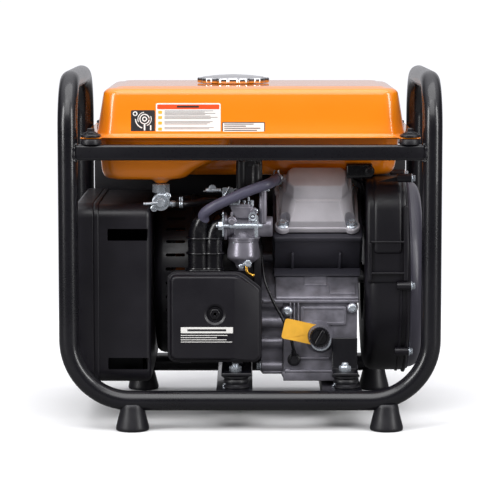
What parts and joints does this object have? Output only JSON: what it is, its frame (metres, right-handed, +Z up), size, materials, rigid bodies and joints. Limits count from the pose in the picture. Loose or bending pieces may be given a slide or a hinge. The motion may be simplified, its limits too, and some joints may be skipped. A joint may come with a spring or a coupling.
{
  "type": "portable generator",
  "caption": "Open-frame portable inverter generator: tube frame, flat fuel tank, slanted air-cooled engine, alternator, recoil starter and control box.",
  "frame": {"origin": "on the ground under the centre of the frame", "axes": "+X along the crankshaft from the control panel to the recoil starter, +Z up, -Y towards the side with the air cleaner and valve cover"},
  "size_m": [0.46, 0.347, 0.432],
  "materials": {
    "frame_powder_coat": "satin black powder coat",
    "tank_orange": "gloss orange paint on pressed steel",
    "foot_rubber": "matt black rubber",
    "cap_chrome": "bright chrome plate",
    "zinc_steel": "zinc plate",
    "machined_steel": "ground steel",
    "cast_aluminium": "bead-blasted die casting",
    "black_sheet": "satin black painted sheet",
    "exhaust_steel": "heat-resistant dark coating",
    "electrical_steel": "laminated steel with magnets",
    "stator_winding": "laminated ring with copper windings",
    "black_plastic": "fine-grained moulded plastic",
    "filter_foam": "open-cell foam",
    "hose_rubber": "smooth grey-violet hose",
    "decal_white": "printed vinyl film",
    "decal_orange": "printed vinyl film",
    "decal_black": "printed vinyl film",
    "tag_yellow": "moulded tag",
    "brass_fitting": "turned brass",
    "starter_rope": "braided nylon",
    "lamp_lens": "translucent lens"
  },
  "bodies": {
    "root": {"front_frame_tube": "frame_powder_coat", "front_crossbar": "frame_powder_coat", "rear_frame_tube": "frame_powder_coat", "rear_crossbar": "frame_powder_coat", "left_handle_tube": "frame_powder_coat", "right_handle_tube": "frame_powder_coat", "left_mount_rail": "frame_powder_coat", "right_mount_rail": "frame_powder_coat", "foot_front_left": "foot_rubber", "foot_front_right": "foot_rubber", "foot_rear_left": "foot_rubber", "foot_rear_right": "foot_rubber", "rubber_mount_front_left": "foot_rubber", "rubber_mount_front_right": "foot_rubber", "rubber_mount_rear_left": "foot_rubber", "rubber_mount_rear_right": "foot_rubber", "left_engine_bracket": "frame_powder_coat", "right_engine_bracket_front": "frame_powder_coat", "right_engine_bracket_rear": "frame_powder_coat", "tank_upper_shell": "tank_orange", "tank_lower_shell": "tank_orange", "fuel_valve_body": "zinc_steel", "fuel_hose": "hose_rubber", "crankcase": "cast_aluminium", "crankcase_side_cover": "cast_aluminium", "cylinder_and_head": "cast_aluminium", "cylinder_shroud": "black_sheet", "valve_cover": "cast_aluminium", "alternator_stator": "stator_winding", "alternator_cover": "black_plastic", "blower_housing": "black_plastic", "recoil_cover": "black_plastic", "air_cleaner_cover": "black_plastic", "air_cleaner_case": "black_plastic", "air_filter_element": "filter_foam", "intake_elbow": "black_plastic", "carburettor_body": "cast_aluminium", "float_bowl": "cast_aluminium", "throttle_motor": "black_plastic", "breather_hose": "hose_rubber", "muffler": "exhaust_steel", "muffler_guard": "exhaust_steel", "panel_case": "black_plastic", "control_panel": "black_plastic", "twin_outlet": "black_plastic", "locking_outlet": "black_plastic", "inverter_module": "cast_aluminium"},
    "fuel_cap": {"fuel_cap": "cap_chrome"},
    "fuel_lever": {"fuel_valve_lever": "zinc_steel"},
    "choke": {"choke_lever": "zinc_steel"},
    "oil_cap": {"oil_filler_cap": "black_plastic"},
    "air_knob": {"air_cleaner_knob": "zinc_steel"},
    "engine_rocker": {"engine_switch": "black_plastic"},
    "eco_rocker": {"eco_switch": "black_plastic"},
    "breaker": {"breaker_button": "black_plastic"},
    "crank": {"crankshaft": "machined_steel", "flywheel_fan": "cast_aluminium", "alternator_rotor": "electrical_steel"},
    "reel": {"starter_reel": "black_plastic"},
    "pull_grip": {"recoil_handle": "black_plastic"}
  },
  "joints": [
    {"name": "fuel_cap_turn", "type": "hinge", "parent": "root", "child": "fuel_cap", "pos_m": [-0.021, 0, 0.418], "axis": [0, 0, 1], "range_deg": [0, 180]},
    {"name": "fuel_lever_turn", "type": "hinge", "parent": "root", "child": "fuel_lever", "pos_m": [-0.1085, -0.12, 0.273], "axis": [0, 1, 0], "range_deg": [-90, 0]},
    {"name": "choke_turn", "type": "hinge", "parent": "root", "child": "choke", "pos_m": [-0.022, -0.12, 0.25], "axis": [0, 1, 0], "range_deg": [-60, 0]},
    {"name": "oil_cap_turn", "type": "hinge", "parent": "root", "child": "oil_cap", "pos_m": [0.085, -0.12, 0.108], "axis": [0, -1, 0], "range_deg": [0, 360]},
    {"name": "air_knob_turn", "type": "hinge", "parent": "root", "child": "air_knob", "pos_m": [-0.0425, -0.125, 0.138], "axis": [0, -1, 0], "range_deg": [0, 360]},
    {"name": "engine_switch_rock", "type": "hinge", "parent": "root", "child": "engine_rocker", "pos_m": [-0.2065, 0.068, 0.219], "axis": [0, 1, 0], "range_deg": [0, 12]},
    {"name": "eco_switch_rock", "type": "hinge", "parent": "root", "child": "eco_rocker", "pos_m": [-0.2065, 0.032, 0.219], "axis": [0, 1, 0], "range_deg": [0, 12]},
    {"name": "breaker_press", "type": "slide", "parent": "root", "child": "breaker", "axis": [1, 0, 0], "range_m": [0, 0.003], "stiffness_N_per_m": 400},
    {"name": "crank_spin", "type": "hinge", "parent": "root", "child": "crank", "pos_m": [0, 0.02, 0.17], "axis": [1, 0, 0], "continuous": true},
    {"name": "reel_turn", "type": "hinge", "parent": "root", "child": "reel", "pos_m": [0.2, 0.02, 0.17], "axis": [1, 0, 0], "range_deg": [0, 842]},
    {"name": "grip_pull", "type": "slide", "parent": "root", "child": "pull_grip", "axis": [1, 0, 0], "range_m": [0, 0.5]}
  ],
  "couplings": [
    {"joint": "grip_pull", "follows": "reel_turn", "m_per_rad": 0.034}
  ]
}
